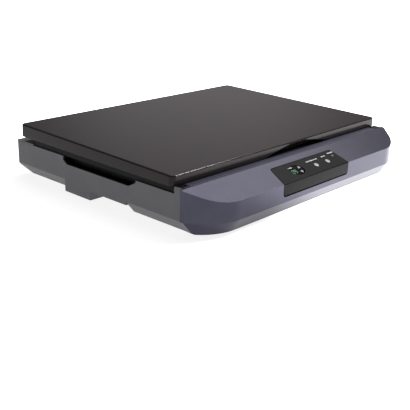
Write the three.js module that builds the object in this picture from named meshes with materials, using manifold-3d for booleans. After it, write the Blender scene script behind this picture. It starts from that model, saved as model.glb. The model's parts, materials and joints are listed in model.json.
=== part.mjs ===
// Flatbed scanner of the A3 class: wedge lid on lifting hinges, case, platen and scanning carriage.
// Millimetres, +Z up, front (control panel) towards -Y, origin on the floor under the middle.

import * as THREE from 'three';
import { mergeVertices } from 'three/addons/utils/BufferGeometryUtils.js';
import Module from 'manifold-3d';

const wasm = await Module();
wasm.setup();

// ---------- driving dimensions ----------

const GAP = 0.3;              // clearance between pieces that touch

const LID = {
  halfWidth: 267.5, front: -160.5, rear: 214.3, corner: 9, wall: 2.4,
  frontBottom: 70.4, rearBottom: 72, frontTop: 86.1, rearTop: 94,
};
const NOTCH = { left: -66.5, right: 116.5, height: 12.4, depth: 12 };

const CASE = {
  halfWidth: 264.6, front: -175.4, rear: 228.4, wall: 2.6,
  bottom: 3.2, wallTop: 60.6, frontWallTop: 60, hornTop: 70.8, hornRear: -161.4,
  chamferTop: 21.4, chamferInset: 12.7, rearChamferTop: 17, rearChamferStart: 207,
};
const GRIP = { frontTop: -79.9, rearTop: 98.5, frontFloor: -62.8, rearFloor: 88.9, floor: 47.9, depth: 14.1 };
const FOOT_BLOCK = { front: 29.5, rear: 95.5, inner: 217, bottom: 0.6 };
const ARCH = { rampFront: -61, front: -57.5, ceiling: 15.5, inner: 190 };

const PLATEN = {
  halfWidth: 262.5, front: -161.1, rear: 181.2, top: 69, skin: 2.5, skirt: 3,
  windowHalf: 216, windowFront: -146, windowRear: 156,
};
const GLASS = { halfWidth: 222, front: -154, rear: 170, bottom: 63.2, top: 66.2 };
const DECK = { front: 181.5, top: 62.9, lip: 2 };

const BEZEL = {
  halfWidth: 267.5, front: -228.4, deckTop: 70.8, deckFront: -178.8, deckRear: -161.5,
  bendZ: 51.6, lowerZ: 22.2, bottom: 3.2, bottomFront: -217.4, wall: 2.6,
  cornerRadius: 70, cornerReach: 56.5, cornerStart: -182, footHalf: 252.3, seam: -175.8,
};
const SLOPE = Math.atan2(BEZEL.deckTop - BEZEL.bendZ, BEZEL.deckFront - BEZEL.front);
const SLOPE_LENGTH = Math.hypot(BEZEL.deckTop - BEZEL.bendZ, BEZEL.deckFront - BEZEL.front);

const PANEL = { topLeft: -88, left: -97.5, right: 77.5, start: 14.5, bottomZ: 33, thick: 2.4, proud: 0.3, corner: 6 };
const DISPLAY = { x: -41.5, s: 33.3, halfWidth: 16, halfHeight: 11.7, thick: 1.6 };
const ROUND_BUTTONS = [{ name: 'round_button_left', x: 7.5, s: 36 }, { name: 'round_button_right', x: 39.2, s: 36 }];
const ARROW_BUTTONS = [{ name: 'arrow_button_up', x: -32.5, s: 29, up: 1 }, { name: 'arrow_button_down', x: -35.5, s: 39.6, up: -1 }];
const BUTTON = { radius: 4.3, top: 0.9, rim: 0.2, bottom: -9.5, arrow: 3.6 };
const STATUS_LIGHT = { x: 63.5, s: 28, radius: 1.5 };
const BOARD_H = -12.5;        // panel board, below the slope surface

const HINGE = { x: 175, y: 219, z: 78, radius: 4, bore: 1.9, pin: 1.6, postHalf: 13, knuckle: 10, postBottom: 26 };
const CARRIAGE = { home: -224, halfWidth: 14, front: -156, rear: 172, bottom: 36, top: 52 };
const ROD = { y: 150, z: 28, radius: 4, half: 247.5 };
const BELT = { y: 190, half: 240, inner: 6.15, thick: 1.2, bottom: 39.2, top: 44.8 };
const GEAR = { teeth: 40, pinionTeeth: 12, module: 0.65, bottom: 32, top: 37 };
const SCREWS = { x: 245.5, ys: [-150, 125] };
const SOCKETS = { bottom: 31.9, top: 43, usb: -25, power: 19, rear: 228.1 };

// ---------- materials ----------

const finish = (color, roughness, metalness = 0) => new THREE.MeshStandardMaterial({ color, roughness, metalness });
const LID_BLACK = finish(0x2a2728, 0.35);
const CASE_GREY = finish(0x5a5c60, 0.55);
const FRAME_BLACK = finish(0x17181a, 0.45);
const BEZEL_GREY = finish(0x62637a, 0.35, 0.3);
const PANEL_BLACK = finish(0x1c1c1c, 0.4);
const GLOSS_BLACK = finish(0x060707, 0.08);
const BUTTON_GREY = finish(0x85858f, 0.4);
const LAMP_GREEN = finish(0x4f7f5c, 0.4);
const CLEAR_GLASS = finish(0xbfd0cc, 0.05);
const WHITE = finish(0xf0f0ee, 0.6);
const FOAM = finish(0xdedede, 0.95);
const STEEL = finish(0xb9bcc0, 0.3, 1);
const BRASS = finish(0xb08d4c, 0.35, 1);
const RUBBER = finish(0x141414, 0.9);
const BOARD_GREEN = finish(0x1f5a36, 0.6);
const BLACK_PLASTIC = finish(0x202124, 0.6);
const IVORY = finish(0xd8d4c6, 0.55);

// ---------- solids ----------

function toSolid(geometry) {
  const bare = new THREE.BufferGeometry();
  bare.setAttribute('position', geometry.getAttribute('position'));
  if (geometry.index) bare.setIndex(geometry.index);
  const merged = mergeVertices(bare);
  const index = [];
  for (let i = 0; i < merged.index.count; i += 3) {
    const [a, b, c] = [0, 1, 2].map((k) => merged.index.getX(i + k));
    if (a !== b && b !== c && c !== a) index.push(a, b, c);
  }
  const vertProperties = new Float32Array(merged.getAttribute('position').array);
  return new wasm.Manifold(new wasm.Mesh({ numProp: 3, vertProperties, triVerts: new Uint32Array(index) }));
}

function toGeometry(solid) {
  const { vertProperties, triVerts } = solid.getMesh();
  const geometry = new THREE.BufferGeometry();
  geometry.setAttribute('position', new THREE.BufferAttribute(new Float32Array(vertProperties), 3));
  geometry.setIndex(new THREE.BufferAttribute(new Uint32Array(triVerts), 1));
  geometry.computeVertexNormals();
  return geometry;
}

const join = (...solids) => solids.reduce((a, b) => a.add(b));
const cut = (body, ...tools) => tools.reduce((a, b) => a.subtract(b), body);

function extrude(outline, depth) {
  const shape = new THREE.Shape(outline.map(([a, b]) => new THREE.Vector2(a, b)));
  return new THREE.ExtrudeGeometry(shape, { depth, bevelEnabled: false });
}

// Prisms: the outline is [y, z] along X, [x, z] along Y and [x, y] along Z.
function prismX(outline, x0, x1) {
  const turn = new THREE.Matrix4().makeBasis(
    new THREE.Vector3(0, 1, 0), new THREE.Vector3(0, 0, 1), new THREE.Vector3(1, 0, 0));
  return toSolid(extrude(outline, x1 - x0).applyMatrix4(turn).translate(x0, 0, 0));
}

function prismY(outline, y0, y1) {
  return toSolid(extrude(outline, y1 - y0).rotateX(Math.PI / 2).translate(0, y1, 0));
}

function prismZ(outline, z0, z1) {
  return toSolid(extrude(outline, z1 - z0).translate(0, 0, z0));
}

function box(x0, x1, y0, y1, z0, z1) {
  const geometry = new THREE.BoxGeometry(x1 - x0, y1 - y0, z1 - z0);
  return toSolid(geometry.translate((x0 + x1) / 2, (y0 + y1) / 2, (z0 + z1) / 2));
}

function rodZ(x, y, radius, z0, z1, sides = 16) {
  const geometry = new THREE.CylinderGeometry(radius, radius, z1 - z0, sides).rotateX(Math.PI / 2);
  return toSolid(geometry.translate(x, y, (z0 + z1) / 2));
}

function rodX(y, z, radius, x0, x1, sides = 16) {
  const geometry = new THREE.CylinderGeometry(radius, radius, x1 - x0, sides).rotateZ(Math.PI / 2);
  return toSolid(geometry.translate((x0 + x1) / 2, y, z));
}

// A turned piece about its own Z axis: the profile is [radius, height], from axis to axis, rising outside.
function turned(profile, sides = 20) {
  const points = profile.map(([r, h]) => new THREE.Vector2(r, h));
  return toSolid(new THREE.LatheGeometry(points, sides).rotateX(Math.PI / 2));
}

// Joins outlines of equal point count, each [x, y, z], into one closed skin with flat ends.
function loft(rings) {
  const count = rings[0].length;
  const index = [];
  for (let ring = 0; ring + 1 < rings.length; ring += 1) {
    for (let i = 0; i < count; i += 1) {
      const a = ring * count + i;
      const b = ring * count + ((i + 1) % count);
      index.push(a, b, b + count, a, b + count, a + count);
    }
  }
  const flat = rings[0].map(([x, y]) => new THREE.Vector2(x, y));
  const last = (rings.length - 1) * count;
  for (const [a, b, c] of THREE.ShapeUtils.triangulateShape(flat, [])) {
    index.push(c, b, a, last + a, last + b, last + c);
  }
  const geometry = new THREE.BufferGeometry();
  geometry.setAttribute('position', new THREE.Float32BufferAttribute(rings.flat(2), 3));
  geometry.setIndex(index);
  return toSolid(geometry);
}

// A rectangle with rounded corners, counter-clockwise.
function roundedRect(x0, x1, y0, y1, radius, steps = 5) {
  const corners = [[x1 - radius, y0 + radius, -90], [x1 - radius, y1 - radius, 0],
    [x0 + radius, y1 - radius, 90], [x0 + radius, y0 + radius, 180]];
  return corners.flatMap(([cx, cy, start]) => Array.from({ length: steps + 1 }, (_, i) => {
    const angle = THREE.MathUtils.degToRad(start + (90 * i) / steps);
    return [cx + radius * Math.cos(angle), cy + radius * Math.sin(angle)];
  }));
}

function coil(radius, wire, length, turns) {
  const stepsPerTurn = 8;
  const points = [];
  for (let i = 0; i <= turns * stepsPerTurn; i += 1) {
    const angle = (2 * Math.PI * i) / stepsPerTurn;
    const height = wire + ((length - 2 * wire) * i) / (turns * stepsPerTurn);
    points.push(new THREE.Vector3(radius * Math.cos(angle), radius * Math.sin(angle), height));
  }
  const section = Array.from({ length: 6 }, (_, i) => new THREE.Vector2(
    wire * Math.cos((Math.PI * i) / 3), wire * Math.sin((Math.PI * i) / 3)));
  const extrudePath = new THREE.CatmullRomCurve3(points);
  const steps = turns * stepsPerTurn;
  return new THREE.ExtrudeGeometry(new THREE.Shape(section), { steps, bevelEnabled: false, extrudePath });
}

// ---------- node helpers ----------

function piece(name, material, solid) {
  const mesh = new THREE.Mesh(toGeometry(solid), material);
  mesh.name = name;
  return mesh;
}

function at(mesh, x, y, z) {
  mesh.position.set(x, y, z);
  return mesh;
}

function assembly(...children) {
  const group = new THREE.Group();
  group.add(...children.flat());
  return group;
}

const SIDES = [['left', -1], ['right', 1]];
const sided = (side, near, far) => (side < 0 ? [-far, -near] : [near, far]);
const boxOnSide = (side, near, far, ...rest) => box(...sided(side, near, far), ...rest);

// ---------- case ----------

// Outline in [y, z] of the case seen from its side, drawn in by an inset on every face but the top.
function caseProfile(inset, top) {
  return [
    [CASE.front + inset, CASE.bottom + inset], [CASE.rearChamferStart - inset * 0.5, CASE.bottom + inset],
    [CASE.rear - inset, CASE.rearChamferTop + inset], [CASE.rear - inset, top], [CASE.front + inset, top],
  ];
}

// Wedge in [x, z] outside the bottom side chamfer.
function chamferWedge(side, inset) {
  const outer = side * (CASE.halfWidth + 5);
  const edge = side * (CASE.halfWidth - inset);
  const foot = side * (CASE.halfWidth - CASE.chamferInset - inset * 0.4);
  const slide = inset * 0.4;
  return [[outer, CASE.bottom - 4], [foot, CASE.bottom - 4], [foot, CASE.bottom + slide],
    [edge, CASE.chamferTop + slide], [outer, CASE.chamferTop + slide]];
}

function gripOutline(margin, top) {
  return [[GRIP.frontTop - margin, top], [GRIP.frontTop - margin, CASE.wallTop - 4],
    [GRIP.frontFloor - margin * 0.5, GRIP.floor - margin], [GRIP.rearFloor + margin * 0.5, GRIP.floor - margin],
    [GRIP.rearTop + margin, CASE.wallTop - 6], [GRIP.rearTop + margin, top]];
}

// Space under the case, on one side, where fingers reach in to lift it.
function archSpace(side, inset) {
  const outline = [[ARCH.rampFront - inset, -5], [ARCH.rampFront - inset, CASE.bottom],
    [ARCH.front - inset, ARCH.ceiling + inset], [FOOT_BLOCK.front + inset, ARCH.ceiling + inset],
    [FOOT_BLOCK.front + inset, -5]];
  return prismX(outline, ...sided(side, ARCH.inner - inset, CASE.halfWidth + 5));
}

function hingeWell(side, z0, z1, wall) {
  const half = HINGE.postHalf + GAP + wall;
  const back = wall ? CASE.rear - CASE.wall : HINGE.y + HINGE.radius + GAP;
  return box(side * HINGE.x - half, side * HINGE.x + half, HINGE.y - HINGE.radius - GAP - wall, back, z0, z1);
}

function supportPosts() {
  const gearX = -BELT.half;
  const posts = [[gearX - 11, 182], [gearX - 11, 199], [-203.5, 190]].map(([x, y]) => rodZ(x, y, 3, 4.5, 29.7));
  const boardPosts = [-62, 52].flatMap((x) => [rodZ(x, 182, 3, 4.5, 29.7), rodZ(x, 207, 3, 6.2, 29.7)]);
  const idlerPost = rodZ(BELT.half - 4, BELT.y, 6, 4.5, 34.7);
  const sensorPost = box(-249, -241, 60, 70, 4.5, 27.7);
  return [...posts, ...boardPosts, idlerPost, sensorPost];
}

function lowerCase() {
  const { halfWidth: half, wall } = CASE;
  let outer = prismX(caseProfile(0, CASE.hornTop), -half, half);
  let inner = prismX(caseProfile(wall, CASE.hornTop + 5), -half + wall, half - wall);
  const skidSpans = [[CASE.front - 5, ARCH.front], [FOOT_BLOCK.rear, CASE.rear + 5]];
  for (const [, side] of SIDES) {
    for (const [y0, y1] of skidSpans) outer = cut(outer, prismY(chamferWedge(side, 0), y0, y1));
    outer = cut(outer, archSpace(side, 0));
    outer = join(outer, boxOnSide(side, FOOT_BLOCK.inner, half, FOOT_BLOCK.front, FOOT_BLOCK.rear,
      FOOT_BLOCK.bottom, ARCH.ceiling + 4));
    inner = cut(inner, prismY(chamferWedge(side, wall), CASE.front - 5, CASE.rear + 5), archSpace(side, wall));
    inner = cut(inner, boxOnSide(side, FOOT_BLOCK.inner - wall, half, FOOT_BLOCK.front - wall,
      FOOT_BLOCK.rear + wall, 0, 8));
  }
  let body = cut(outer, inner);
  body = cut(body, box(-half - 5, half + 5, CASE.hornRear, CASE.rear + 5, CASE.wallTop, CASE.hornTop + 5));
  body = cut(body, box(-half + wall, half - wall, CASE.front - 5, CASE.front + 6, CASE.frontWallTop,
    CASE.hornTop + 5));
  body = join(body, ...supportPosts());
  for (const [, side] of SIDES) {
    const saddle = boxOnSide(side, ROD.half - 6, ROD.half + 6, ROD.y - 10, ROD.y + 10, 4.5, ROD.z);
    const bosses = SCREWS.ys.map((y) => rodZ(side * SCREWS.x, y, 5, 4.5, 40));
    body = join(body, saddle, ...bosses, hingeWell(side, HINGE.postBottom - 4.5, CASE.wallTop, 2));
    body = cut(body, hingeWell(side, HINGE.postBottom - 1, CASE.wallTop + 5, 0));
    body = cut(body, prismX(gripOutline(0, CASE.wallTop + 5), ...sided(side, half - wall - 1, half + 5)));
    for (const y of SCREWS.ys) {
      body = cut(body, rodZ(side * SCREWS.x, y, 2.1, 0, 45), rodZ(side * SCREWS.x, y, 4.2, 0, 11));
    }
    body = cut(body, ...footPads(side).map(([x0, x1, y0, y1, , top]) => (
      box(x0 - GAP, x1 + GAP, y0 - GAP, y1 + GAP, -1, top + GAP))));
  }
  const rear = [CASE.rear - 8, CASE.rear + 5, SOCKETS.bottom - GAP, SOCKETS.top + GAP];
  body = cut(body, box(SOCKETS.usb - 6.3, SOCKETS.usb + 6.3, ...rear));
  body = cut(body, box(SOCKETS.power - 5.3, SOCKETS.power + 5.3, ...rear));
  return cut(body, rodX(ROD.y, ROD.z, ROD.radius + GAP, -half + wall + 1, half - wall - 1));
}

// Pads set into the case: [x0, x1, y0, y1, bottom, top].
function footPads(side) {
  const skid = CASE.bottom + 1;
  return [
    [...sided(side, 203, 227), -162, -148, 0, skid],
    [...sided(side, 224, 260), FOOT_BLOCK.front + 8, FOOT_BLOCK.rear - 8, 0, FOOT_BLOCK.bottom + 1.5],
    [...sided(side, 203, 227), 158, 172, 0, skid],
  ];
}

function feet() {
  const places = ['front', 'middle', 'rear'];
  return SIDES.flatMap(([name, side]) => footPads(side).map((span, i) => (
    piece(`foot_${places[i]}_${name}`, RUBBER, box(...span)))));
}

function caseScrews() {
  const ends = ['front', 'rear'];
  const profile = [[0, 8.5], [3, 8.5], [3.5, 9.2], [3.5, 10.7], [1.6, 10.7], [1.6, 52], [0, 52]];
  return SIDES.flatMap(([name, side]) => SCREWS.ys.map((y, i) => (
    at(piece(`case_screw_${ends[i]}_${name}`, STEEL, turned(profile, 12)), side * SCREWS.x, y, 0))));
}

// Black frame round the platen, with the two hand-grip pockets that hang inside the case wall.
function topFrame() {
  const { halfWidth: half, front, rear, top, skin, skirt } = PLATEN;
  const under = top - skin;
  const foot = CASE.wallTop + GAP;
  let body = box(-half, half, front, rear, foot, top);
  body = cut(body, box(-half + skirt, half - skirt, front + skirt, rear + 5, foot - 5, under));
  for (const [, side] of SIDES) {
    const inner = CASE.halfWidth - GRIP.depth - 2.2;
    const pocket = prismX(gripOutline(2.2, under + 1), ...sided(side, inner, CASE.halfWidth - CASE.wall - GAP));
    const hollow = prismX(gripOutline(0, foot), ...sided(side, inner + 2.2, half + 5));
    body = cut(join(body, pocket), hollow);
    for (const y of SCREWS.ys) {
      body = join(body, rodZ(side * SCREWS.x, y, 4.5, 40.3, under + 1));
      body = cut(body, rodZ(side * SCREWS.x, y, 1.9, 35, 60));
    }
  }
  return cut(body, box(-PLATEN.windowHalf, PLATEN.windowHalf, PLATEN.windowFront, PLATEN.windowRear, 60, 75));
}

function platenGlass() {
  return box(-GLASS.halfWidth, GLASS.halfWidth, GLASS.front, GLASS.rear, GLASS.bottom, GLASS.top);
}

function rearDeck() {
  const half = CASE.halfWidth;
  const foot = CASE.wallTop + GAP;
  const { front, top, lip } = DECK;
  const tuck = CASE.wall + GAP;
  const plate = box(-half, half, front, CASE.rear, foot, top);
  const rim = box(-half + tuck, half - tuck, front, CASE.rear - tuck, foot - lip, foot + 1);
  const inner = box(-half + tuck + lip, half - tuck - lip, front + lip, CASE.rear - tuck - lip, foot - lip - 1, foot);
  const wells = SIDES.map(([, side]) => hingeWell(side, foot - lip - 1, foot, CASE.wall + GAP));
  const slots = SIDES.map(([, side]) => hingeWell(side, foot - 5, top + 5, 0));
  return cut(join(plate, cut(rim, inner, ...wells)), ...slots);
}

// ---------- front bezel and control panel ----------

// Plan with an arc at each front corner, counter-clockwise; share is how far the arc turns to the side.
function cornerPlan({ radius, cy, side, share, shoulder }) {
  const arcSteps = 9;
  const cx = BEZEL.halfWidth - BEZEL.cornerRadius;
  const sweep = Math.PI / 2 - Math.acos(share);
  const right = [];
  for (let i = 0; i <= arcSteps; i += 1) {
    const angle = -Math.PI / 2 + (sweep * i) / arcSteps;
    right.push([cx + radius * Math.cos(angle), cy + radius * Math.sin(angle)]);
  }
  right.push([side, shoulder], [side, -140]);
  const left = right.map(([x, y]) => [-x, y]).reverse();
  return [...right, ...left];
}

// Outline of the bezel above its bottom chamfer: large arc, slanted shoulder, straight end.
function bezelPlan(inset) {
  return cornerPlan({
    radius: BEZEL.cornerRadius - inset, cy: BEZEL.front + BEZEL.cornerRadius, side: BEZEL.halfWidth - inset,
    share: BEZEL.cornerReach / BEZEL.cornerRadius, shoulder: BEZEL.cornerStart + inset * 0.4,
  });
}

// Outline of its underside: the same arc set back, cut off in line with the case's side chamfer.
function bezelFoot(inset) {
  const radius = BEZEL.cornerRadius - inset * 0.7;
  const side = BEZEL.footHalf - inset;
  const reach = side - BEZEL.halfWidth + BEZEL.cornerRadius;
  const cy = BEZEL.bottomFront + BEZEL.cornerRadius;
  return cornerPlan({ radius, cy, side, share: reach / radius, shoulder: cy - radius * 0.6 + 4 });
}

const ring = (plan, z) => plan.map(([x, y]) => [x, y, z]);

function bezelBody(inset) {
  const skirt = loft([ring(bezelFoot(inset), BEZEL.bottom - 0.5 + inset), ring(bezelPlan(inset), BEZEL.lowerZ),
    ring(bezelPlan(inset), 80)]);
  const lift = inset / Math.cos(SLOPE);
  const section = [[BEZEL.seam, BEZEL.bottom + inset], [BEZEL.front - 5, BEZEL.bottom + inset],
    [BEZEL.front - 5, BEZEL.bendZ - lift - 5 * Math.tan(SLOPE)], [BEZEL.deckFront, BEZEL.deckTop - lift],
    [BEZEL.deckFront, BEZEL.deckTop - inset], [BEZEL.seam, BEZEL.deckTop - inset]];
  if (!inset) section.splice(4, 1);
  return skirt.intersect(prismX(section, -300, 300));
}

function frontBezel() {
  const deckHalf = CASE.halfWidth - CASE.wall - GAP;
  const deck = box(-deckHalf, deckHalf, BEZEL.seam - 4, BEZEL.deckRear, BEZEL.deckTop - BEZEL.wall, BEZEL.deckTop);
  const openBack = box(-deckHalf, deckHalf, BEZEL.seam - 3, BEZEL.seam + 5, 20, BEZEL.deckTop - BEZEL.wall);
  const shell = cut(bezelBody(0), bezelBody(BEZEL.wall), openBack);
  return cut(join(shell, deck), panelBody(GAP, 4));
}

// Fascia bent over the edge between slope and front, grown by a margin, and by depth behind.
function panelBody(margin, depth = 0) {
  const [sin, cos] = [Math.sin(SLOPE), Math.cos(SLOPE)];
  const onSlope = (s, h) => [BEZEL.deckFront - s * cos - h * sin, BEZEL.deckTop - s * sin + h * cos];
  const outside = PANEL.proud + margin;
  const inside = PANEL.proud - PANEL.thick - margin - depth;
  const start = PANEL.start - margin;
  const bend = (h) => onSlope(SLOPE_LENGTH + h * Math.tan((Math.PI / 2 - SLOPE) / 2), h);
  const section = [onSlope(start, outside), bend(outside), [BEZEL.front - outside, PANEL.bottomZ - margin],
    [BEZEL.front - inside, PANEL.bottomZ - margin], bend(inside), onSlope(start, inside)];
  const top = onSlope(start, 0)[0];
  const plan = [[PANEL.left - margin, BEZEL.front - 9], [PANEL.right + margin, BEZEL.front - 9],
    [PANEL.right - 3 + margin, top + 9], [PANEL.topLeft - margin, top + 9]];
  const front = roundedRect(PANEL.left - margin, PANEL.right + margin, PANEL.bottomZ - margin, 90,
    PANEL.corner, 4);
  return prismX(section, -130, 130).intersect(prismZ(plan, 0, 90)).intersect(prismY(front, -260, -150));
}

// Outlines on the slope surface, in the panel's own frame: x across, y up the slope, z out of it.
function ellipse(x, s, a, b, steps = 24) {
  return Array.from({ length: steps }, (_, i) => {
    const angle = (2 * Math.PI * i) / steps;
    return [x + a * Math.cos(angle), -s + b * Math.sin(angle)];
  });
}

function arrowOutline({ x, s, up }, size) {
  const base = -s - up * size * 0.6;
  const outline = [[x - size, base], [x + size, base], [x, -s + up * size * 0.9]];
  return up > 0 ? outline : outline.reverse();
}

function panelHoles() {
  const arrowHoles = ARROW_BUTTONS.map((b) => prismZ(arrowOutline(b, BUTTON.arrow + 0.7), -20, 20));
  const roundHoles = ROUND_BUTTONS.map((b) => rodZ(b.x, -b.s, BUTTON.radius + GAP, -20, 20));
  const lightHole = rodZ(STATUS_LIGHT.x, -STATUS_LIGHT.s, STATUS_LIGHT.radius + GAP, -20, 20);
  return { arrowHoles, roundHoles, lightHole };
}

const slopeTransform = new THREE.Matrix4().makeRotationX(SLOPE)
  .setPosition(0, BEZEL.deckFront, BEZEL.deckTop);

function toSlope(solid) {
  return toSolid(toGeometry(solid).applyMatrix4(slopeTransform));
}

function controlPanel() {
  const { roundHoles, lightHole } = panelHoles();
  const window = prismZ(ellipse(DISPLAY.x, DISPLAY.s, DISPLAY.halfWidth + GAP, DISPLAY.halfHeight + GAP), -20, 20);
  return cut(panelBody(0), ...[...roundHoles, lightHole, window].map(toSlope));
}

function displayWindow() {
  const lens = prismZ(ellipse(DISPLAY.x, DISPLAY.s, DISPLAY.halfWidth, DISPLAY.halfHeight),
    PANEL.proud - DISPLAY.thick, PANEL.proud);
  return cut(lens, ...panelHoles().arrowHoles);
}

function roundButton() {
  const { radius, top, rim, bottom } = BUTTON;
  return turned([[0, bottom], [1.5, bottom], [1.5, -4.4], [4.6, -4.4], [4.6, -3.2], [radius, -3.2],
    [radius, rim], [radius * 0.75, top * 0.75], [radius * 0.4, top * 0.95], [0, top]], 20);
}

function arrowButton(button) {
  const cap = prismZ(arrowOutline(button, BUTTON.arrow), -3.4, PANEL.proud + 0.5);
  const stem = rodZ(button.x, -button.s, 1.2, BUTTON.bottom, -3, 12);
  return join(cap, stem);
}

function panelPieces() {
  const light = turned([[0, -6], [1.5, -6], [1.5, 0.2], [1, 0.5], [0, 0.6]], 12);
  const pieces = [
    piece('display_window', GLOSS_BLACK, displayWindow()),
    piece('display_module', LAMP_GREEN, box(-60, -47.5, -44, -29, -9, -2.4)),
    at(piece('status_light', LAMP_GREEN, light), STATUS_LIGHT.x, -STATUS_LIGHT.s, 0),
    piece('panel_board', BOARD_GREEN, box(-95, 72, -50, -17, BOARD_H, BOARD_H + 1.5)),
    ...ROUND_BUTTONS.map((b) => at(piece(b.name, BUTTON_GREY, roundButton()), b.x, -b.s, 0)),
    ...ARROW_BUTTONS.map((b) => piece(b.name, BUTTON_GREY, arrowButton(b))),
  ];
  const group = assembly(pieces);
  group.applyMatrix4(slopeTransform);
  return group;
}

// ---------- lid ----------

// Wedge of the lid, drawn in by an inset on the sides and top; the bottom stays open below.
function lidWedge(inset, drop) {
  const outline = [[LID.front - 5, LID.frontBottom - drop], [LID.rear + 5, LID.rearBottom - drop],
    [LID.rear + 5, LID.rearTop - inset], [LID.front - 5, LID.frontTop - inset]];
  const corner = LID.corner - inset * 0.9;
  const plan = roundedRect(-LID.halfWidth + inset, LID.halfWidth - inset, LID.front + inset, LID.rear - inset, corner);
  return prismX(outline, -300, 300).intersect(prismZ(plan, 50, 110));
}

// Arched thumb notch in the front edge.
function notchOutline(grow) {
  const steps = 12;
  const width = NOTCH.right - NOTCH.left;
  const points = [[NOTCH.left, LID.frontBottom - 2]];
  for (let i = 0; i <= steps; i += 1) {
    const rise = Math.sin((Math.PI * i) / steps) ** 1.3;
    points.push([NOTCH.left + (width * i) / steps, LID.frontBottom + NOTCH.height * rise + grow]);
  }
  points.push([NOTCH.right, LID.frontBottom - 2]);
  return points.reverse();
}

function lidShell() {
  const pocketWall = box(NOTCH.left - 4, NOTCH.right + 4, LID.front, LID.front + NOTCH.depth + 2.4, 60, 100);
  const inner = cut(lidWedge(LID.wall, 10), pocketWall);
  let body = cut(lidWedge(0, 0), inner);
  body = cut(body, prismY(notchOutline(0), LID.front - 5, LID.front + NOTCH.depth));
  for (const [, side] of SIDES) {
    for (const way of [-1, 1]) {
      const centre = side * HINGE.x + way * (HINGE.postHalf + 0.5 + HINGE.knuckle / 2);
      const [x0, x1] = [centre - HINGE.knuckle / 2, centre + HINGE.knuckle / 2];
      const barrel = rodX(HINGE.y, HINGE.z, HINGE.radius, x0, x1);
      const tongue = box(x0, x1, LID.rear - 1.5, HINGE.y, HINGE.z - HINGE.radius, HINGE.z + HINGE.radius);
      body = cut(join(body, tongue, barrel), rodX(HINGE.y, HINGE.z, HINGE.bore, x0 - 1, x1 + 1, 12));
    }
  }
  return body;
}

function lidPieces() {
  const rim = LID.wall + GAP;
  const [x1, y0, y1] = [LID.halfWidth - rim, LID.front + rim, LID.rear - rim];
  const sheet = prismZ(roundedRect(-x1, x1, y0, y1, LID.corner - rim, 4), 73.5, 75);
  const panel = cut(sheet, box(NOTCH.left - 4 - GAP, NOTCH.right + 4 + GAP, y0 - 5,
    LID.front + NOTCH.depth + 2.4 + GAP, 60, 90));
  const pinHalf = HINGE.postHalf + 0.5 + HINGE.knuckle;
  const pins = SIDES.map(([name, side]) => piece(`hinge_pin_${name}`, STEEL,
    rodX(HINGE.y, HINGE.z, HINGE.pin, side * HINGE.x - pinHalf, side * HINGE.x + pinHalf, 12)));
  return assembly(
    piece('lid_shell', LID_BLACK, lidShell()),
    piece('lid_inner_panel', FRAME_BLACK, panel),
    piece('foam_pad', FOAM, box(-212.5, 212.5, -143, 153, 67.5, 73.2)),
    piece('backing_sheet', WHITE, box(-213, 213, -143.5, 153.5, 66.6, 67.2)),
    pins,
  );
}

function hingePost(side) {
  const [x0, x1] = [side * HINGE.x - HINGE.postHalf, side * HINGE.x + HINGE.postHalf];
  const head = rodX(HINGE.y, HINGE.z, HINGE.radius, x0, x1);
  const blade = box(x0, x1, HINGE.y - HINGE.radius, HINGE.y + HINGE.radius, HINGE.postBottom, HINGE.z);
  return cut(join(head, blade), rodX(HINGE.y, HINGE.z, HINGE.bore, x0 - 1, x1 + 1, 12));
}

// ---------- drive ----------

function gearOutline(teeth, phase) {
  const pitch = (GEAR.module * teeth) / 2;
  const [tip, root] = [pitch + 0.5, pitch - 0.8];
  const step = (2 * Math.PI) / teeth;
  const corners = [[root, -0.33], [tip, -0.13], [tip, 0.13], [root, 0.33]];
  return Array.from({ length: teeth }, (_, tooth) => corners.map(([radius, part]) => {
    const angle = (tooth + phase + part) * step;
    return [radius * Math.cos(angle), radius * Math.sin(angle)];
  })).flat();
}

// Grooved pulley for the belt, on its own axis.
function pulley(bottom) {
  const barrel = BELT.inner - GAP;
  const flange = BELT.inner + BELT.thick + 0.65;
  const [low, high] = [BELT.bottom - 0.6, BELT.top + 0.6];
  return turned([[0, bottom], [flange, bottom], [flange, low], [barrel, low], [barrel, high], [flange, high],
    [flange, high + 1], [0, high + 1]], 24);
}

const GEAR_PITCH = (GEAR.module * GEAR.teeth) / 2;
const PINION_PITCH = (GEAR.module * GEAR.pinionTeeth) / 2;
const MOTOR_X = -BELT.half + GEAR_PITCH + PINION_PITCH;

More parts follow.
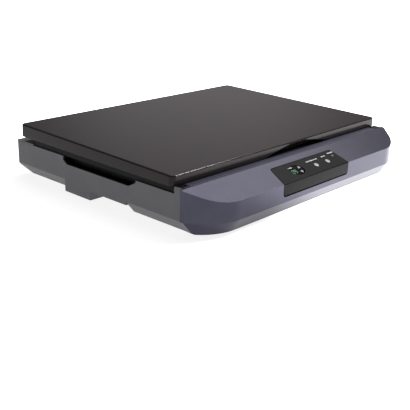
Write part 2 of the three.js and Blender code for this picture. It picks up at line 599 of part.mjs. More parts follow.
function drivePieces() {
  const wheel = join(prismZ(gearOutline(GEAR.teeth, 0.5), GEAR.bottom, GEAR.top), pulley(GEAR.top - 0.5));
  const driveGear = cut(wheel, rodZ(0, 0, 2.3, 20, 60, 12));
  const idler = cut(pulley(GEAR.top), rodZ(0, 0, 2.3, 20, 60, 12));
  const pinion = cut(prismZ(gearOutline(GEAR.pinionTeeth, 0), GEAR.bottom - 0.2, GEAR.top + 0.5),
    rodZ(0, 0, 1.3, 20, 60, 12));
  const motor = turned([[0, 16.3], [13, 16.3], [14, 17.3], [14, 29.7], [4, 29.7], [4, 31], [1, 31], [1, 38.5],
    [0, 38.5]], 28);
  const motorPlate = cut(box(-256, -200, 176, 206, 30, 31.5), rodZ(MOTOR_X, BELT.y, 4.5, 20, 60));
  const motorBracket = join(motorPlate, rodZ(-BELT.half, BELT.y, 2, 31, 46.8, 12));
  const idlerPlate = box(226, 250.8, 182, 198, 35, 36.7);
  const idlerTab = box(249.2, 250.8, 186, 194, 36, 44);
  const idlerBracket = join(idlerPlate, idlerTab, rodZ(BELT.half, BELT.y, 2, 36, 46.8, 12));
  const spring = at(piece('belt_tension_spring', STEEL, toSolid(coil(2.4, 0.45, 10.1, 6))), 251.2, BELT.y, 40);
  spring.rotation.y = Math.PI / 2;
  return [
    at(piece('drive_gear', IVORY, driveGear), -BELT.half, BELT.y, 0),
    at(piece('idler_pulley', IVORY, idler), BELT.half, BELT.y, 0),
    at(piece('motor_pinion', BRASS, pinion), MOTOR_X, BELT.y, 0),
    at(piece('drive_motor', STEEL, motor), MOTOR_X, BELT.y, 0),
    piece('motor_bracket', STEEL, motorBracket),
    piece('idler_bracket', STEEL, idlerBracket),
    piece('drive_belt', RUBBER, driveBelt()),
    spring,
  ];
}

function driveBelt() {
  const loop = (radius) => {
    const turn = 12;
    const points = [];
    for (const [cx, start] of [[BELT.half, -90], [-BELT.half, 90]]) {
      for (let i = 0; i <= turn; i += 1) {
        const angle = THREE.MathUtils.degToRad(start + (180 * i) / turn);
        points.push([cx + radius * Math.cos(angle), BELT.y + radius * Math.sin(angle)]);
      }
    }
    return points;
  };
  return cut(prismZ(loop(BELT.inner + BELT.thick), BELT.bottom, BELT.top), prismZ(loop(BELT.inner), 30, 60));
}

// ---------- carriage, in its own frame with x = 0 on its middle ----------

function carriageFrame() {
  const { halfWidth: half, front, rear, bottom, top } = CARRIAGE;
  const tray = cut(box(-half, half, front, rear, bottom, top),
    box(-half + 2, half - 2, front + 2, rear - 2, bottom + 2, top + 5));
  const flag = box(-20, -12, 64.2, 65.8, 31, bottom + 2);
  return join(tray, flag);
}

function carriagePieces() {
  const bar = cut(box(-11.5, 11.5, -152, 168, 47, 60), box(-6, 6, -142, 158, 52, 65));
  const bushing = cut(box(-12, 12, ROD.y - 8, ROD.y + 8, 22.5, 35.7),
    rodX(ROD.y, ROD.z, ROD.radius + GAP, -20, 20));
  const run = BELT.y - BELT.inner - BELT.thick / 2;
  const clamp = cut(join(box(-6, 6, CARRIAGE.rear + GAP, run + 3.4, 38, 42), box(-6, 6, run - 3, run + 3.4, 38, 46.5)),
    box(-8, 8, run - BELT.thick / 2 - GAP, run + BELT.thick / 2 + GAP, BELT.bottom - GAP, 50));
  const spring = () => toSolid(coil(3, 0.45, 8.2, 5));
  const group = assembly(
    piece('carriage_frame', BLACK_PLASTIC, carriageFrame()),
    piece('sensor_bar', BLACK_PLASTIC, bar),
    piece('sensor_window', CLEAR_GLASS, box(-8, 8, -144.5, 160.5, 60.3, 61.5)),
    piece('light_guide', WHITE, box(1.5, 5.5, -140, 156, 53, 58)),
    piece('sensor_board', BOARD_GREEN, box(-9, 9, -138, 152, 45.2, 46.7)),
    piece('glide_front', IVORY, box(-5, 5, -151.5, -145.5, 60.3, 62.9)),
    piece('glide_rear', IVORY, box(-5, 5, 161.5, 167.5, 60.3, 62.9)),
    piece('rod_bushing', BRASS, bushing),
    piece('belt_clamp', BLACK_PLASTIC, clamp),
    at(piece('lift_spring_front', STEEL, spring()), 0, -145, 38.3),
    at(piece('lift_spring_rear', STEEL, spring()), 0, 160, 38.3),
  );
  group.position.x = CARRIAGE.home;
  return group;
}

// ---------- fixed pieces inside ----------

function rodClamp(side) {
  return cut(boxOnSide(side, ROD.half - 6, ROD.half + 6, ROD.y - 8, ROD.y + 8, ROD.z + GAP, 35),
    rodX(ROD.y, ROD.z, ROD.radius + GAP, -260, 260));
}

function socket(x, half, hollow) {
  const body = box(x - half, x + half, 210, SOCKETS.rear, SOCKETS.bottom, SOCKETS.top);
  return cut(body, hollow);
}

function electronics() {
  const middle = (SOCKETS.bottom + SOCKETS.top) / 2;
  const usbHollow = box(SOCKETS.usb - 4.2, SOCKETS.usb + 4.2, 214, 235, middle - 3.9, middle + 3.9);
  const barrel = new THREE.CylinderGeometry(3.1, 3.1, 20, 16).translate(SOCKETS.power, 226, middle);
  const sensor = cut(box(-249, -241, 60, 70, 28, 34.5), box(-255, -235, 63.2, 66.8, 30, 40));
  const flex = join(box(-20, -4, 175, 175.5, 6.1, 29), box(-20, -4, 100, 175.5, 6.1, 6.6));
  return [
    piece('main_board', BOARD_GREEN, box(-70, 60, 176, 224.5, 30, 31.6)),
    piece('usb_socket', STEEL, socket(SOCKETS.usb, 6, usbHollow)),
    piece('power_socket', BLACK_PLASTIC, socket(SOCKETS.power, 5, toSolid(barrel))),
    piece('home_sensor', BLACK_PLASTIC, sensor),
    piece('flex_cable', WHITE, flex),
    piece('calibration_strip', WHITE, box(-221.5, -216.8, -140, 150, 62.6, 62.9)),
    piece('guide_rod', STEEL, rodX(ROD.y, ROD.z, ROD.radius, -ROD.half, ROD.half)),
    ...SIDES.map(([name, side]) => piece(`rod_clamp_${name}`, STEEL, rodClamp(side))),
  ];
}

// ---------- the whole scanner ----------

const scanner = assembly(
  piece('lower_case', CASE_GREY, lowerCase()),
  piece('top_frame', FRAME_BLACK, topFrame()),
  piece('platen_glass', CLEAR_GLASS, platenGlass()),
  piece('rear_deck', CASE_GREY, rearDeck()),
  piece('front_bezel', BEZEL_GREY, frontBezel()),
  piece('control_panel', PANEL_BLACK, controlPanel()),
  panelPieces(),
  feet(),
  caseScrews(),
  electronics(),
  drivePieces(),
  carriagePieces(),
  SIDES.map(([name, side]) => piece(`hinge_post_${name}`, BLACK_PLASTIC, hingePost(side))),
  lidPieces(),
);

export default scanner;
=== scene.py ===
"""Flatbed scanner: the looks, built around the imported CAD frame. Metres, +Z up, panel towards -Y."""

import json
import math
import random

import bmesh
import bpy
from mathutils import Matrix, Vector

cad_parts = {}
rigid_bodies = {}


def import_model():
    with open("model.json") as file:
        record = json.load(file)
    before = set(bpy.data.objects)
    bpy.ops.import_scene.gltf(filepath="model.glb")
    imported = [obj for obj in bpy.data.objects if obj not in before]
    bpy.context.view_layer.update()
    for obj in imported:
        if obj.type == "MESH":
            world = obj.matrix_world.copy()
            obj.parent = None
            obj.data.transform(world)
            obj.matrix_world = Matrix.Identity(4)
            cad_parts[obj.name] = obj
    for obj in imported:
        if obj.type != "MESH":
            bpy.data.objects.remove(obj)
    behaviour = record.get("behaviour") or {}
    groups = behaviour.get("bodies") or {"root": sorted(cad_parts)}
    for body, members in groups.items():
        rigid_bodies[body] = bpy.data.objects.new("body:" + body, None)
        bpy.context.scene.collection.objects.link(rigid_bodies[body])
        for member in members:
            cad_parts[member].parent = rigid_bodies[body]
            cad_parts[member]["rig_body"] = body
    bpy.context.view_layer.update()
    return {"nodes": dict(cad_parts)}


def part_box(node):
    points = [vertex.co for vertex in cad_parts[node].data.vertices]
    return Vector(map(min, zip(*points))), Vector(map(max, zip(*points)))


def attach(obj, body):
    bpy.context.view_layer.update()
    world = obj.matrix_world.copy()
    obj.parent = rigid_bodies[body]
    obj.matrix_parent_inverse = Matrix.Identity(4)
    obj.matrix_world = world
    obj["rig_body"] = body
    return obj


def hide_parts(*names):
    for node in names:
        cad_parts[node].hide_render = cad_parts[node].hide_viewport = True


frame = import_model()
random.seed(7)

MM = 0.001

# ---------- places, read from the frame ----------

LID_LO, LID_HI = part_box("lid_shell")
INNER_LO, INNER_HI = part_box("lid_inner_panel")
BEZEL_LO, BEZEL_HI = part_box("front_bezel")
CASE_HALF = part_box("lower_case")[1].x
PIN_LO, PIN_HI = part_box("hinge_pin_right")

LID_RIM = 2.7 * MM                       # from the inner panel's edge to the lid's outside
LID_FRONT = INNER_LO.y - LID_RIM
LID_REAR = INNER_HI.y + LID_RIM
LID_HALF = LID_HI.x
LID_WALL = 2.4 * MM
LID_CORNER = 9 * MM
LID_FILLET = 2.6 * MM
LID_DRAFT = 0.5 * MM                     # how far the sides lean in towards the top
LID_BOTTOM = (LID_LO.z, LID_LO.z + 1.6 * MM)      # at the front edge, at the rear edge
LID_TOP = (LID_LO.z + 15.7 * MM, LID_HI.z)
NOTCH_LEFT, NOTCH_RIGHT, NOTCH_RISE = -66.5 * MM, 116.5 * MM, 12.4 * MM
NOTCH_DEPTH = 12 * MM
NOTCH_STEPS = 36
NOTCH_ROOF = 1.6 * MM

KNUCKLE_RADIUS = 4 * MM
KNUCKLE_BORE = 1.9 * MM
KNUCKLE_GAP = 27 * MM                    # room for the post between the two ears on a pin

BEZEL_HALF = BEZEL_HI.x
BEZEL_FRONT = BEZEL_LO.y
BEZEL_BOTTOM = BEZEL_LO.z
BEZEL_SEAM = -175.8 * MM                 # where the shell ends and the deck strip goes on
BEZEL_PLAN_REAR = -140 * MM              # rough rear end and top of the body before it is sliced
BEZEL_PLAN_TOP = 80 * MM
DECK_TOP = BEZEL_HI.z
DECK_FRONT = -178.8 * MM
DECK_REAR = -161.5 * MM
BEND_Z = 51.6 * MM                       # edge between the slope and the upright front
LOWER_Z = 22.2 * MM                      # edge between the upright front and the bottom chamfer
SKIRT_SET_BACK = 11 * MM
SKIRT_HALF = 252.3 * MM
BEZEL_CORNER = 70 * MM
SHOULDER_Y = -182 * MM
SHOULDER_REACH = 56.5 * MM
BEZEL_WALL = 2.6 * MM
CHANNEL_HALF, CHANNEL_FRONT, CHANNEL_REAR = 245 * MM, -178 * MM, -161.6 * MM
CHANNEL_CORNER = 6 * MM
CHANNEL_DEPTH = 0.9 * MM
CHANNEL_LINING = 0.3 * MM

SLOPE = math.atan2(DECK_TOP - BEND_Z, DECK_FRONT - BEZEL_FRONT)
SLOPE_LENGTH = math.hypot(DECK_TOP - BEND_Z, DECK_FRONT - BEZEL_FRONT)
ON_SLOPE = Matrix.Translation((0, DECK_FRONT, DECK_TOP)) @ Matrix.Rotation(SLOPE, 4, "X")

PANEL_PROUD = 0.3 * MM
PANEL_THICK = 2.4 * MM
PANEL_START = 14.5 * MM
PANEL_BOTTOM = 33 * MM
PANEL_LEFT_TOP, PANEL_LEFT = -88 * MM, -97.5 * MM
PANEL_RIGHT_TOP, PANEL_RIGHT = 74.5 * MM, 77.5 * MM
PANEL_CORNER = 6 * MM
PANEL_TOP_CORNER = 5.5 * MM
PANEL_BEND = 2.2 * MM

# places on the slope: x across it, s the distance down it from the deck
DISPLAY_X, DISPLAY_S = -41.5 * MM, 33.3 * MM
DISPLAY_A, DISPLAY_B = 16 * MM, 11.7 * MM
LENS_TOP = PANEL_PROUD + 0.15 * MM
PRINT_ON_LENS = PANEL_PROUD + 0.28 * MM
CLEARANCE = 0.3 * MM
CUTTER_REACH = 6 * MM
BUTTON_RADIUS = 4.3 * MM
ARROW_SIZE = 3.6 * MM
ARROWS = {"arrow_button_up": (-32.5 * MM, 29 * MM, 1), "arrow_button_down": (-35.5 * MM, 39.6 * MM, -1)}
ROUNDS = {"round_button_left": (7.5 * MM, 36 * MM), "round_button_right": (39.2 * MM, 36 * MM)}
STATUS_X, STATUS_S = 63.5 * MM, 28 * MM
STATUS_HOLE = 1.8 * MM

USB_X, POWER_X, SOCKET_Z = -25 * MM, 19 * MM, 37.45 * MM
USB_BACK, TONGUE_END = 214 * MM, 224 * MM
POWER_BACK = 216 * MM

# ---------- materials ----------


def noise(tree, coords, scale, detail=4.0):
    node = tree.nodes.new("ShaderNodeTexNoise")
    node.inputs["Scale"].default_value = scale
    node.inputs["Detail"].default_value = detail
    node.inputs["Roughness"].default_value = 0.55
    tree.links.new(coords, node.inputs["Vector"])
    return node.outputs["Fac"]


def spread(tree, factor, low, high):
    """Stretches the middle of a noise over a range of values."""
    node = tree.nodes.new("ShaderNodeMapRange")
    node.inputs["From Min"].default_value = 0.3
    node.inputs["From Max"].default_value = 0.7
    node.inputs["To Min"].default_value = low
    node.inputs["To Max"].default_value = high
    tree.links.new(factor, node.inputs["Value"])
    return node.outputs["Result"]


def blend_colours(tree, factor, dark, light):
    node = tree.nodes.new("ShaderNodeMix")
    node.data_type = "RGBA"
    node.inputs["A"].default_value = (*dark, 1)
    node.inputs["B"].default_value = (*light, 1)
    tree.links.new(factor, node.inputs["Factor"])
    return node.outputs["Result"]


def material(name, colour, roughness, *, metallic=0.0, variation=0.06, grain=1400.0, depth=0.02,
             rough_spread=0.04, patch=35.0, stretch=None, **sockets):
    """Moulded, painted or metal finish: soft patches of colour, a fine grain in bump and in roughness."""
    made = bpy.data.materials.new(name)
    made.use_nodes = True
    tree = made.node_tree
    shader = tree.nodes["Principled BSDF"]
    shader.inputs["Metallic"].default_value = metallic
    for socket, value in sockets.items():
        shader.inputs[socket.replace("_", " ")].default_value = value
    coords = tree.nodes.new("ShaderNodeTexCoord").outputs["Object"]
    if stretch:
        mapping = tree.nodes.new("ShaderNodeMapping")
        mapping.inputs["Scale"].default_value = stretch
        tree.links.new(coords, mapping.inputs["Vector"])
        coords = mapping.outputs["Vector"]
    soft = spread(tree, noise(tree, coords, patch), 0.0, 1.0)
    dark = [c * (1 - variation) for c in colour]
    light = [min(1.0, c * (1 + variation)) for c in colour]
    tree.links.new(blend_colours(tree, soft, dark, light), shader.inputs["Base Color"])
    fine = noise(tree, coords, grain, 2.0)
    low, high = max(0.0, roughness - rough_spread), min(1.0, roughness + rough_spread)
    tree.links.new(spread(tree, fine, low, high), shader.inputs["Roughness"])
    bump = tree.nodes.new("ShaderNodeBump")
    bump.inputs["Strength"].default_value = 0.5
    bump.inputs["Distance"].default_value = depth * MM
    tree.links.new(fine, bump.inputs["Height"])
    tree.links.new(bump.outputs["Normal"], shader.inputs["Normal"])
    return made


def glass(name, colour):
    made = material(name, colour, 0.02, variation=0.01, grain=300.0, depth=0.001, rough_spread=0.01)
    shader = made.node_tree.nodes["Principled BSDF"]
    shader.inputs["Transmission Weight"].default_value = 1.0
    shader.inputs["IOR"].default_value = 1.5
    return made


LID_BLACK = material("lid_black", (0.0205, 0.0168, 0.0175), 0.16, grain=1700, depth=0.012, variation=0.08,
                     rough_spread=0.03, Specular_IOR_Level=0.16, Specular_Tint=(1.0, 0.9, 0.93, 1))
CASE_GREY = material("case_grey", (0.110, 0.112, 0.121), 0.5, grain=1100, depth=0.06,
                     Specular_IOR_Level=0.4)
FRAME_BLACK = material("frame_black", (0.0080, 0.0088, 0.0100), 0.5, grain=1300, depth=0.05,
                       Specular_IOR_Level=0.08)
BEZEL_PAINT = material("bezel_paint", (0.0605, 0.0585, 0.0815), 0.28, metallic=1.0, grain=2600, depth=0.012,
                       rough_spread=0.05)
# bezel paint made darker for the sheet in the deck trough: painted shade from the lid that overhangs it
CHANNEL_PAINTED_SHADE = material("channel_painted_shade", (0.055, 0.055, 0.078), 0.4, grain=2200, depth=0.02,
                        Specular_IOR_Level=0.2)
PANEL_BLACK = material("panel_black", (0.0062, 0.0062, 0.0060), 0.36, grain=1900, depth=0.03,
                       Specular_IOR_Level=0.06)
WINDOW_BLACK = material("window_black", (0.0015, 0.002, 0.002), 0.12, grain=200, depth=0.002,
                        rough_spread=0.02, Specular_IOR_Level=0.01)
BUTTON_SILVER = material("button_silver", (0.30, 0.29, 0.35), 0.42, metallic=0.15, grain=2400,
                         depth=0.01)
PRINT_WHITE = material("print_white", (0.75, 0.76, 0.78), 0.5, grain=3000, depth=0.004)
DIGIT_GREEN = material("digit_green", (0.05, 0.22, 0.10), 0.35, grain=2500, depth=0.004,
                       Emission_Color=(0.08, 0.42, 0.19, 1), Emission_Strength=0.35)
LAMP_LENS = material("lamp_lens", (0.34, 0.38, 0.36), 0.2, grain=900, depth=0.004)
CLEAR_GLASS = glass("clear_glass", (0.94, 0.985, 0.965))
WHITE_SHEET = material("white_sheet", (0.80, 0.80, 0.785), 0.42, variation=0.015, grain=700,
                       depth=0.01)
FOAM = material("foam", (0.62, 0.62, 0.60), 0.95, variation=0.08, grain=900, depth=0.25, patch=60)
STEEL = material("steel", (0.56, 0.57, 0.59), 0.3, metallic=1.0, grain=700, depth=0.01,
                 stretch=(0.06, 1, 1))
BRASS = material("brass", (0.58, 0.42, 0.18), 0.3, metallic=1.0, grain=800, depth=0.01)
RUBBER = material("rubber", (0.012, 0.012, 0.012), 0.85, grain=1200, depth=0.09)
BOARD_GREEN = material("board_green", (0.02, 0.12, 0.05), 0.42, variation=0.12, grain=500, depth=0.03,
                       patch=180)
CHIP_BLACK = material("chip_black", (0.014, 0.014, 0.016), 0.55, grain=1500, depth=0.03)
MOULDED_BLACK = material("moulded_black", (0.016, 0.016, 0.018), 0.55, grain=1300, depth=0.05)
ACETAL = material("acetal", (0.62, 0.59, 0.50), 0.4, variation=0.03, grain=900, depth=0.015)

# ---------- mesh helpers ----------


def linked(name, data):
    obj = bpy.data.objects.new(name, data)
    bpy.context.scene.collection.objects.link(obj)
    return obj


def add_object(name, mesh, finish, body, replaces=()):
    """Adds a piece of the object: its finish, the body it rides on and the CAD nodes it stands for."""
    obj = linked(name, mesh)
    obj.data.materials.clear()
    obj.data.materials.append(finish)
    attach(obj, body)
    if replaces:
        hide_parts(*replaces)
    return obj


def finish_mesh(bm, name, transform=None, sharp=35):
    """Turns a bmesh into a smooth-shaded mesh that stays sharp at edges over an angle in degrees."""
    bmesh.ops.recalc_face_normals(bm, faces=bm.faces)
    for face in bm.faces:
        face.smooth = True
    mesh = bpy.data.meshes.new(name)
    bm.to_mesh(mesh)
    bm.free()
    if transform is not None:
        mesh.transform(transform)
    mesh.set_sharp_from_angle(angle=math.radians(sharp))
    return mesh


def soften(obj, width, segments=3, angle=30):
    """Rounds the hard edges of a piece."""
    bevel = obj.modifiers.new("edges", "BEVEL")
    bevel.width = width
    bevel.segments = segments
    bevel.limit_method = "ANGLE"
    bevel.angle_limit = math.radians(angle)
    bevel.harden_normals = True
    bevel.miter_outer = "MITER_ARC"
    return obj


def body_name(node):
    return frame["nodes"][node]["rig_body"]


def clean_copy(node):
    """The CAD node's surface as a new mesh, with its flat facets joined."""
    bm = bmesh.new()
    bm.from_mesh(frame["nodes"][node].data)
    bmesh.ops.remove_doubles(bm, verts=bm.verts, dist=1e-6)
    bmesh.ops.dissolve_limit(bm, angle_limit=math.radians(0.6), verts=bm.verts, edges=bm.edges)
    return finish_mesh(bm, f"{node}_body")


def refined(node, finish, width, segments):
    """Stands for a CAD node with the same shape, its edges rounded and its finish on."""
    obj = add_object(f"{node}_body", clean_copy(node), finish, body_name(node), [node])
    return soften(obj, width, segments)


def rings_mesh(rings):
    """A skin through rings of equal point count, closed by flat ends."""
    bm = bmesh.new()
    rows = [[bm.verts.new(p) for p in ring] for ring in rings]
    for low, high in zip(rows, rows[1:]):
        for i in range(len(low)):
            j = (i + 1) % len(low)
            bm.faces.new((low[i], low[j], high[j], high[i]))
    bm.faces.new(list(reversed(rows[0])))
    bm.faces.new(rows[-1])
    return bm


def ellipse(cx, cy, a, b, steps):
    return [(cx + a * math.cos(2 * math.pi * i / steps), cy + b * math.sin(2 * math.pi * i / steps))
            for i in range(steps)]


def circle(cx, cy, radius, steps):
    return ellipse(cx, cy, radius, radius, steps)


def upright(a, b, level):
    return a, b, level


def side_on(y, z, x):
    """For outlines drawn in the YZ plane."""
    return x, y, z


def front_on(x, z, y):
    """For outlines drawn in the XZ plane."""
    return x, y, z


def extruded(outline, low, high, place=upright):
    """A prism of a flat outline between two levels; place turns outline and level into a point."""
    return rings_mesh([[place(a, b, t) for a, b in outline] for t in (low, high)])


def millimetres(profile):
    return [(radius * MM, height * MM) for radius, height in profile]


def lathe(profile, steps):
    """A closed turned solid about Z: the profile runs from axis to axis as (radius, height)."""
    bm = bmesh.new()
    turn = [2 * math.pi * i / steps for i in range(steps)]
    rows = []
    for radius, height in profile:
        if radius < 1e-7:
            rows.append([bm.verts.new((0, 0, height))])
        else:
            rows.append([bm.verts.new((radius * math.cos(a), radius * math.sin(a), height)) for a in turn])
    for low, high in zip(rows, rows[1:]):
        for i in range(steps):
            j = (i + 1) % steps
            corners = [low[i % len(low)], low[j % len(low)], high[j % len(high)], high[i % len(high)]]
            unique = list(dict.fromkeys(corners))
            if len(unique) > 2:
                bm.faces.new(unique)
    return bm


def cut_away(obj, cutters):
    """Subtracts closed bmesh solids from a piece, for good."""
    for cutter in cutters:
        tool = linked("tool", finish_mesh(cutter, "tool"))
        cut = obj.modifiers.new("cut", "BOOLEAN")
        cut.operation = "DIFFERENCE"
        cut.solver = "EXACT"
        cut.object = tool
        graph = bpy.context.evaluated_depsgraph_get()
        mesh = bpy.data.meshes.new_from_object(obj.evaluated_get(graph))
        obj.modifiers.clear()
        obj.data = mesh
        bpy.data.objects.remove(tool)
    # join the flat facets that the cuts left behind
    bm = bmesh.new()
    bm.from_mesh(obj.data)
    bmesh.ops.dissolve_limit(bm, angle_limit=math.radians(0.3), verts=bm.verts, edges=bm.edges)
    materials = list(obj.data.materials)
    obj.data = finish_mesh(bm, obj.name)
    for finish in materials:
        obj.data.materials.append(finish)
    return obj


# ---------- lid ----------


def along(y, ends):
    """A height on the lid's wedge, between its value at the front edge and at the rear edge."""
    return ends[0] + (ends[1] - ends[0]) * (y - LID_FRONT) / (LID_REAR - LID_FRONT)


def notch_rise(x):
    """How far the thumb notch lifts the front edge's underside at a place across it."""
    share = (x - NOTCH_LEFT) / (NOTCH_RIGHT - NOTCH_LEFT)
    return NOTCH_RISE * math.sin(math.pi * share) ** 1.3 if 0 < share < 1 else 0.0


def lid_outline(inset):
    """The lid's plan, counter-clockwise from its front left, with many points along the notch."""
    corner_steps = 10
    half, front, rear = LID_HALF - inset, LID_FRONT + inset, LID_REAR - inset
    radius = max(LID_CORNER - inset, 1.5 * MM)
    points = [(NOTCH_LEFT + (NOTCH_RIGHT - NOTCH_LEFT) * i / NOTCH_STEPS, front)
              for i in range(NOTCH_STEPS + 1)]
    corners = [(half - radius, front + radius, -90), (half - radius, rear - radius, 0),
               (radius - half, rear - radius, 90), (radius - half, front + radius, 180)]
    for cx, cy, start in corners:
        for i in range(corner_steps + 1):
            angle = math.radians(start + 90 * i / corner_steps)
            points.append((cx + radius * math.cos(angle), cy + radius * math.sin(angle)))
    return points


def lid_ring(inset, height, on_bottom):
    """The lid's plan laid on its underside or on its top, moved by a height."""
    points = []
    for x, y in lid_outline(inset):
        level = along(y, LID_BOTTOM if on_bottom else LID_TOP)
        if on_bottom and y - inset < LID_FRONT + 1e-6:
            level += notch_rise(x)
        points.append((x, y, level + height))
    return points


def lid_shell():
    """The cover: from its hollow underside over the lower edge, up the sides and round onto the top."""
    edge = 0.7 * MM
    rings = [lid_ring(LID_WALL + 0.4 * MM, -LID_WALL, False), lid_ring(LID_WALL, edge, True),
             lid_ring(LID_WALL - edge * 0.6, 0, True), lid_ring(edge * 0.6, 0, True),
             lid_ring(0, edge, True)]
    fillet_steps = 6
    for i in range(fillet_steps + 1):
        angle = math.radians(90 * i / fillet_steps)
        inset = LID_DRAFT + LID_FILLET * (1 - math.cos(angle))
        rings.append(lid_ring(inset, LID_FILLET * (math.sin(angle) - 1), False))
    rings.append(lid_ring(LID_DRAFT + LID_FILLET * 3, 0, False))
    mesh = finish_mesh(rings_mesh(rings), "lid_cover", sharp=50)
    cover = add_object("lid_cover", mesh, LID_BLACK, "lid", ["lid_shell"])
    cover.modifiers.new("shading", "WEIGHTED_NORMAL").keep_sharp = True


def lid_notch():
    """Pocket behind the thumb notch: a roof that follows the arch, and a back wall."""
    margin = 3 * MM
    first, width = NOTCH_LEFT - margin, NOTCH_RIGHT - NOTCH_LEFT + 2 * margin
    xs = [first + width * i / NOTCH_STEPS for i in range(NOTCH_STEPS + 1)]
    base = LID_BOTTOM[0]
    arch = [(x, base + notch_rise(x)) for x in xs]
    above = [(x, z + NOTCH_ROOF) for x, z in reversed(arch)]
    wall = [(xs[0], base), (xs[-1], base)] + above
    front, back = LID_FRONT + LID_WALL * 0.7, LID_FRONT + NOTCH_DEPTH
    shapes = {"lid_notch_roof": (arch + above, front, back), "lid_notch_wall": (wall, back, back + LID_WALL)}
    for name, (outline, y0, y1) in shapes.items():
        mesh = finish_mesh(extruded(outline, y0, y1, front_on), name)
        pocket = add_object(name, mesh, LID_BLACK, "lid")
        soften(pocket, 0.3 * MM, 2)


def hinge_knuckles():
    """Ears of the lid that hold the hinge pins, on both sides of each post."""
    axis = (PIN_LO + PIN_HI) / 2
    ear = (PIN_HI.x - PIN_LO.x - KNUCKLE_GAP) / 2
    root = LID_REAR - 1.5 * MM
    steps = 24
    radius = KNUCKLE_RADIUS
    outline = [(root, axis.z - radius), (axis.y, axis.z - radius)]
    for i in range(1, steps):
        angle = -math.pi / 2 + math.pi * i / steps
        outline.append((axis.y + radius * math.cos(angle), axis.z + radius * math.sin(angle)))
    outline += [(axis.y, axis.z + radius), (root, axis.z + radius)]
    for name in ("left", "right"):
        low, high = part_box(f"hinge_pin_{name}")
        for end, x0 in (("outer", low.x), ("inner", high.x - ear)):
            label = f"lid_knuckle_{name}_{end}"
            mesh = finish_mesh(extruded(outline, x0, x0 + ear, side_on), label)
            knuckle = add_object(label, mesh, LID_BLACK, "lid")
            bore = extruded(circle(axis.y, axis.z, KNUCKLE_BORE, 32), x0 - MM, x0 + ear + MM, side_on)
            soften(cut_away(knuckle, [bore]), 0.5 * MM, 2, 40)


# ---------- bezel and control panel ----------


def corner_plan(radius, cy, side, share, shoulder):
    """A plan with an arc at each front corner, counter-clockwise; share is how far the arc turns."""
    steps = 26
    cx = BEZEL_HALF - BEZEL_CORNER
    sweep = math.pi / 2 - math.acos(share)
    right = [(cx + radius * math.cos(-math.pi / 2 + sweep * i / steps),
              cy + radius * math.sin(-math.pi / 2 + sweep * i / steps)) for i in range(steps + 1)]
    right += [(side, shoulder), (side, BEZEL_PLAN_REAR)]
    return right + [(-x, y) for x, y in reversed(right)]


def bezel_plan(inset):
    """The outline above the bottom chamfer: arc, slanted shoulder and straight end."""
    return corner_plan(BEZEL_CORNER - inset, BEZEL_FRONT + BEZEL_CORNER, BEZEL_HALF - inset,
                       SHOULDER_REACH / BEZEL_CORNER, SHOULDER_Y + inset * 0.4)


def bezel_foot(inset):
    """The underside's outline: the same arc set back, cut off in line with the case's side chamfer."""
    radius = BEZEL_CORNER - inset * 0.7
    side = SKIRT_HALF - inset
    cy = BEZEL_FRONT + SKIRT_SET_BACK + BEZEL_CORNER
    share = (side - BEZEL_HALF + BEZEL_CORNER) / radius
    return corner_plan(radius, cy, side, share, cy - radius * 0.6 + 4 * MM)


def slice_off(bm, point, normal):
    """Cuts away what lies on the normal's side of a plane and closes the cut."""
    geometry = bm.verts[:] + bm.edges[:] + bm.faces[:]
    made = bmesh.ops.bisect_plane(bm, geom=geometry, plane_co=point, plane_no=normal, clear_outer=True,
                                  dist=1e-7)
    rim = [g for g in made["geom_cut"] if isinstance(g, bmesh.types.BMEdge)]
    bmesh.ops.contextual_create(bm, geom=rim)


def bezel_solid(inset):
    """The bezel's body, or its hollow when drawn smaller by an inset."""
    rings = [[(x, y, BEZEL_BOTTOM - 0.5 * MM + inset) for x, y in bezel_foot(inset)],
             [(x, y, LOWER_Z) for x, y in bezel_plan(inset)],
             [(x, y, BEZEL_PLAN_TOP) for x, y in bezel_plan(inset)]]
    bm = rings_mesh(rings)
    slice_off(bm, (0, BEZEL_SEAM, 0), (0, 1, 0))
    slice_off(bm, (0, 0, BEZEL_BOTTOM + inset), (0, 0, -1))
    normal = Vector((0, -math.sin(SLOPE), math.cos(SLOPE)))
    slice_off(bm, Vector((0, DECK_FRONT, DECK_TOP)) - normal * inset, normal)
    slice_off(bm, (0, 0, DECK_TOP - inset), (0, 0, 1))
    return bm


def panel_path(margin):
    """Rows down the fascia, over the bend to the front: (y, z, normal y, normal z, distance down)."""
    sin, cos = math.sin(SLOPE), math.cos(SLOPE)
    turn = math.pi / 2 - SLOPE
    tangent = PANEL_BEND * math.tan(turn / 2)
    rows = []
    slope_steps, bend_steps, front_steps = 12, 8, 10
    start, end = PANEL_START - margin, SLOPE_LENGTH - tangent
    for i in range(slope_steps + 1):
        s = start + (end - start) * i / slope_steps
        rows.append((DECK_FRONT - s * cos, DECK_TOP - s * sin, -sin, cos, s))
    centre_y, centre_z = rows[-1][0] + PANEL_BEND * sin, rows[-1][1] - PANEL_BEND * cos
    for i in range(1, bend_steps + 1):
        angle = SLOPE + turn * i / bend_steps
        ny, nz = -math.sin(angle), math.cos(angle)
        distance = end + PANEL_BEND * turn * i / bend_steps
        rows.append((centre_y + PANEL_BEND * ny, centre_z + PANEL_BEND * nz, ny, nz, distance))
    top, bottom = rows[-1][1], PANEL_BOTTOM - margin
    s0 = rows[-1][4]
    for i in range(1, front_steps + 1):
        share = math.sin(math.pi / 2 * i / front_steps)
        z = top + (bottom - top) * share
        rows.append((BEZEL_FRONT, z, -1.0, 0.0, s0 + top - z))
    return rows


